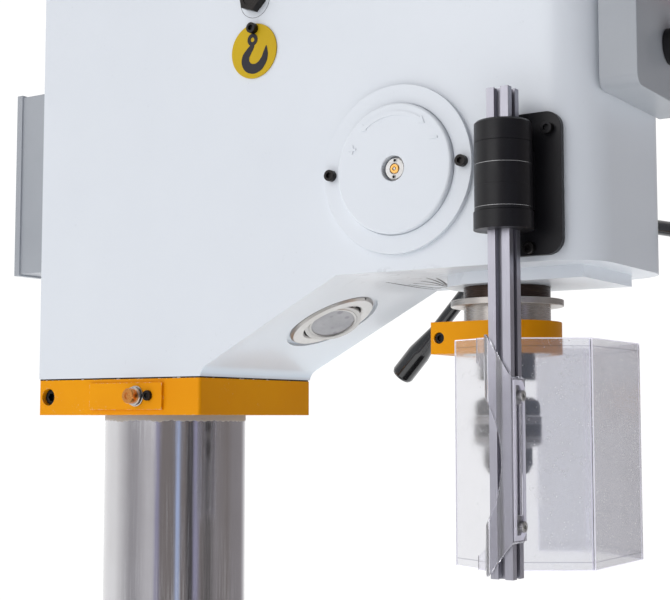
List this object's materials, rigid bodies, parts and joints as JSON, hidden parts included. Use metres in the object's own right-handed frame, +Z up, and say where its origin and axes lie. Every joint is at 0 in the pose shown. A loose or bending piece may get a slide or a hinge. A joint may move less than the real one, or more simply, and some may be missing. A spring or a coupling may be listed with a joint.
{
  "type": "pillar drill",
  "caption": "Pillar drill with a geared head, spring-return quill with capstan feed, swing-away clear chuck guard, recessed lamp and a rack-lifted table on a round column.",
  "frame": {"origin": "on the floor, at the column's axis", "axes": "+Z up along the column, -Y towards the operator, +X to the operator's right"},
  "size_m": [0.5, 0.826, 2.118],
  "materials": {
    "cast_paint": "cast, painted",
    "white_paint": "smooth painted casting",
    "grey_paint": "painted sheet",
    "orange_paint": "painted",
    "motor_paint": "painted",
    "ground_steel": "ground",
    "spring_steel": "oiled",
    "black_steel": "black oxide",
    "zinc_steel": "zinc plated",
    "machined_iron": "machined",
    "satin_nickel": "satin",
    "yellow_plate": "printed plate",
    "black_plastic": "moulded",
    "gloss_black": "polished",
    "anodised": "anodised",
    "clear_plastic": "clear polycarbonate",
    "lamp_glass": "frosted",
    "green_plastic": "moulded",
    "red_plastic": "moulded"
  },
  "bodies": {
    "frame": {"base": "cast_paint", "column_flange": "cast_paint", "column": "ground_steel", "hex_bolts": "black_steel", "head_casting": "white_paint", "column_clamp": "orange_paint", "clamp_fasteners": "zinc_steel", "gearbox_lid": "white_paint", "head_screws": "black_steel", "motor": "motor_paint", "motor_fan_cover": "black_plastic", "terminal_box": "motor_paint", "spindle_cap": "black_plastic", "spring_housing_ring": "white_paint", "spring_housing": "white_paint", "return_spring": "spring_steel", "feed_bearing": "ground_steel", "lamp_ring": "satin_nickel", "lifting_sign": "yellow_plate", "guard_mount": "black_plastic", "guard_barrel": "black_plastic", "control_panel": "grey_paint", "electrical_box": "grey_paint", "cable_gland": "black_plastic", "rack_ring": "cast_paint"},
    "rack": {"table_rack": "spring_steel"},
    "table": {"table_bracket": "cast_paint", "drill_table": "machined_iron"},
    "crank": {"table_pinion": "spring_steel", "table_crank": "zinc_steel"},
    "crank_handle": {"crank_grip": "black_plastic"},
    "lock_lever": {"table_lock_lever": "black_plastic"},
    "quill": {"quill": "ground_steel", "quill_ring": "ground_steel", "quill_collar": "orange_paint", "collar_screw": "black_steel", "depth_rod": "spring_steel"},
    "spindle": {"spindle": "spring_steel", "chuck_body": "ground_steel", "chuck_jaws": "spring_steel"},
    "chuck_sleeve": {"chuck_sleeve": "ground_steel"},
    "gear": {"spindle_gear": "ground_steel"},
    "idler": {"idler_gear": "ground_steel"},
    "motor_rotor": {"motor_pinion": "ground_steel"},
    "feed": {"feed_shaft": "ground_steel", "feed_hub": "black_steel", "feed_arms": "ground_steel", "feed_grips": "gloss_black"},
    "guard_pivot": {"guard_rotor": "black_plastic"},
    "guard": {"guard_profile": "anodised", "guard_bracket": "clear_plastic", "guard_screen": "clear_plastic", "guard_screws": "black_steel"},
    "lamp": {"lamp_gimbal": "satin_nickel", "lamp_bulb": "lamp_glass"},
    "start": {"start_button": "green_plastic"},
    "stop": {"stop_button": "red_plastic"},
    "estop": {"emergency_stop": "red_plastic"},
    "knob": {"speed_knob": "black_plastic"},
    "switch": {"main_switch": "red_plastic"}
  },
  "joints": [
    {"name": "table_swing", "type": "hinge", "parent": "frame", "child": "rack", "pos_m": [0, 0, 0.6], "axis": [0, 0, 1], "range_deg": [-90, 90]},
    {"name": "table_lift", "type": "slide", "parent": "rack", "child": "table", "axis": [0, 0, 1], "range_m": [-0.62, 0.13]},
    {"name": "crank_turn", "type": "hinge", "parent": "table", "child": "crank", "pos_m": [0.1, 0.11405, 0.875], "axis": [1, 0, 0], "range_deg": [-1320, 280]},
    {"name": "crank_grip_spin", "type": "hinge", "parent": "crank", "child": "crank_handle", "pos_m": [0.15, 0.11405, 0.725], "axis": [1, 0, 0], "continuous": true},
    {"name": "table_lock", "type": "hinge", "parent": "table", "child": "lock_lever", "pos_m": [-0.118, -0.04, 0.875], "axis": [0, 1, 0], "range_deg": [0, 75]},
    {"name": "quill_feed", "type": "slide", "parent": "frame", "child": "quill", "axis": [0, 0, -1], "range_m": [0, 0.16], "stiffness_N_per_m": 1100, "springref_m": -0.28},
    {"name": "feed_turn", "type": "hinge", "parent": "frame", "child": "feed", "pos_m": [0.18, -0.337, 1.559], "axis": [1, 0, 0], "range_deg": [-1, 410]},
    {"name": "gear_spin", "type": "hinge", "parent": "frame", "child": "gear", "pos_m": [0, -0.397, 1.767], "axis": [0, 0, 1], "continuous": true},
    {"name": "idler_spin", "type": "hinge", "parent": "frame", "child": "idler", "pos_m": [0, -0.287, 1.767], "axis": [0, 0, 1], "continuous": true},
    {"name": "motor_spin", "type": "hinge", "parent": "frame", "child": "motor_rotor", "pos_m": [0, -0.212, 1.767], "axis": [0, 0, 1], "continuous": true},
    {"name": "spindle_spin", "type": "hinge", "parent": "quill", "child": "spindle", "pos_m": [0, -0.397, 1.38], "axis": [0, 0, 1], "continuous": true},
    {"name": "chuck_sleeve_turn", "type": "hinge", "parent": "spindle", "child": "chuck_sleeve", "pos_m": [0, -0.397, 1.325], "axis": [0, 0, 1], "continuous": true},
    {"name": "guard_swing", "type": "hinge", "parent": "frame", "child": "guard_pivot", "pos_m": [-0.128, -0.458, 1.538], "axis": [0, 0, 1], "range_deg": [-100, 0]},
    {"name": "guard_slide", "type": "slide", "parent": "guard_pivot", "child": "guard", "axis": [0, 0, 1], "range_m": [-0.02, 0.055]},
    {"name": "lamp_tilt", "type": "hinge", "parent": "frame", "child": "lamp", "pos_m": [0, -0.20244, 1.43366], "axis": [0, 0.8863, -0.4631], "range_deg": [-30, 0]},
    {"name": "start_press", "type": "slide", "parent": "frame", "child": "start", "axis": [0, 1, 0], "range_m": [0, 0.003], "stiffness_N_per_m": 400, "springref_m": -0.003},
    {"name": "stop_press", "type": "slide", "parent": "frame", "child": "stop", "axis": [0, 1, 0], "range_m": [0, 0.003], "stiffness_N_per_m": 400, "springref_m": -0.003},
    {"name": "estop_press", "type": "slide", "parent": "frame", "child": "estop", "axis": [0, 1, 0], "range_m": [0, 0.006]},
    {"name": "speed_turn", "type": "hinge", "parent": "frame", "child": "knob", "pos_m": [0, -0.556, 1.66], "axis": [0, -1, 0], "range_deg": [-135, 135]},
    {"name": "main_switch_turn", "type": "hinge", "parent": "frame", "child": "switch", "pos_m": [0, 0.176, 1.651], "axis": [0, 1, 0], "range_deg": [0, 90]}
  ],
  "couplings": [
    {"joint": "crank_turn", "follows": "table_lift", "rad_per_m": 37.037},
    {"joint": "feed_turn", "follows": "quill_feed", "rad_per_m": 44.444},
    {"joint": "idler_spin", "follows": "gear_spin", "ratio": -1.2},
    {"joint": "motor_spin", "follows": "gear_spin", "ratio": 2.4},
    {"joint": "spindle_spin", "follows": "gear_spin", "ratio": 1}
  ]
}
